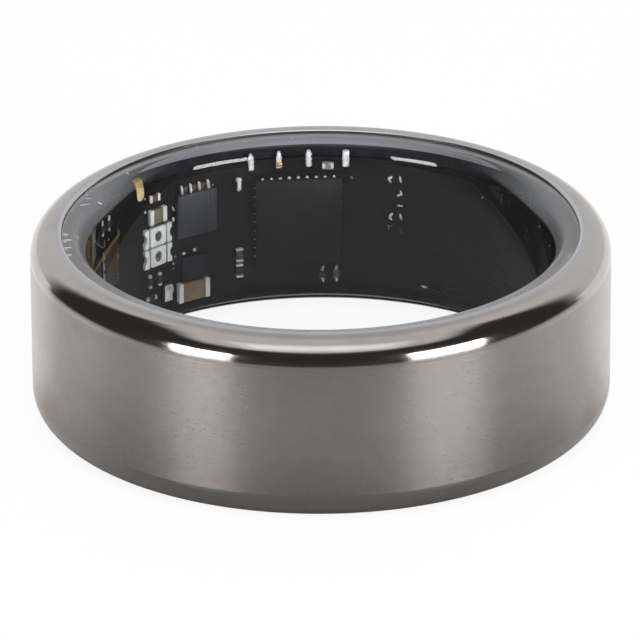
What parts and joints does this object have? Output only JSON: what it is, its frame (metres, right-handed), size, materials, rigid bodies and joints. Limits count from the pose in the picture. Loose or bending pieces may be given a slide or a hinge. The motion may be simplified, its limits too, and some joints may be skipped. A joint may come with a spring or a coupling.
{
  "type": "smart ring",
  "caption": "Finger ring with a rounded metal shell and a clear inner wall, through which a curved circuit board with its chips, lamps and sensors shows",
  "frame": {"origin": "centre of the ring, on the axis of the finger bore and half-way across the ring's width", "axes": "+Z runs along the finger bore and stands up when the ring lies on a rim; +Y points to the side of the ring that carries the main chip, +X follows by the right hand"},
  "size_m": [0.0244, 0.0244, 0.008],
  "materials": {
    "shell_metal": "satin warm grey on the wall, polished on the shoulders and rims",
    "clear_resin": "clear cast resin, polished in the bore, fine lapped haze on the rims",
    "amber_film": "thin amber insulating film",
    "black_potting": "black casting compound",
    "board_mask": "black solder mask on a thin flexible board",
    "chip_black": "black moulded package",
    "chip_grey": "grey bare chip back",
    "chip_blue_black": "blue-black moulded package",
    "solder": "bright solder",
    "plated_ends": "satin tin plating",
    "lamp_body": "white reflector with clear fill",
    "lamp_crystal": "small dark crystal",
    "sensor_brown": "brown light-filtering cover",
    "capacitor_tan": "tan fired ceramic",
    "capacitor_olive": "olive fired ceramic",
    "resistor_dark": "dark coated ceramic",
    "ceramic_dark": "dark ceramic",
    "ceramic_white": "white ceramic",
    "gold_plate": "gold plate",
    "battery_foil": "soft laminated foil",
    "tab_nickel": "nickel strip",
    "copper": "bare copper",
    "ferrite": "dark grey magnetic sheet"
  },
  "bodies": {
    "root": {"outer_shell": "shell_metal", "inner_resin": "clear_resin", "shell_liner": "amber_film", "back_potting": "black_potting", "flex_board": "board_mask", "main_chip": "chip_black", "main_chip_pads": "solder", "power_chip": "chip_grey", "power_chip_leads": "solder", "motion_sensor": "chip_blue_black", "led_upper": "lamp_body", "led_lower": "lamp_body", "led_terminals": "plated_ends", "led_crystals": "lamp_crystal", "light_sensor": "sensor_brown", "light_sensor_joints": "solder", "bulk_capacitor": "capacitor_tan", "bulk_capacitor_ends": "plated_ends", "filter_capacitor": "capacitor_olive", "filter_capacitor_ends": "plated_ends", "small_capacitors": "capacitor_tan", "small_resistors": "resistor_dark", "small_part_ends": "plated_ends", "timing_crystal": "ceramic_dark", "timing_crystal_lid": "plated_ends", "temperature_sensor": "ceramic_white", "edge_contacts": "solder", "gold_contact": "gold_plate", "rim_contacts": "solder", "solder_marks": "solder", "battery_cell": "battery_foil", "battery_tabs": "tab_nickel", "battery_tape": "amber_film", "charging_coil": "copper", "coil_film": "amber_film", "ferrite_sheet": "ferrite", "coil_leads": "copper", "antenna": "copper"}
  },
  "joints": []
}
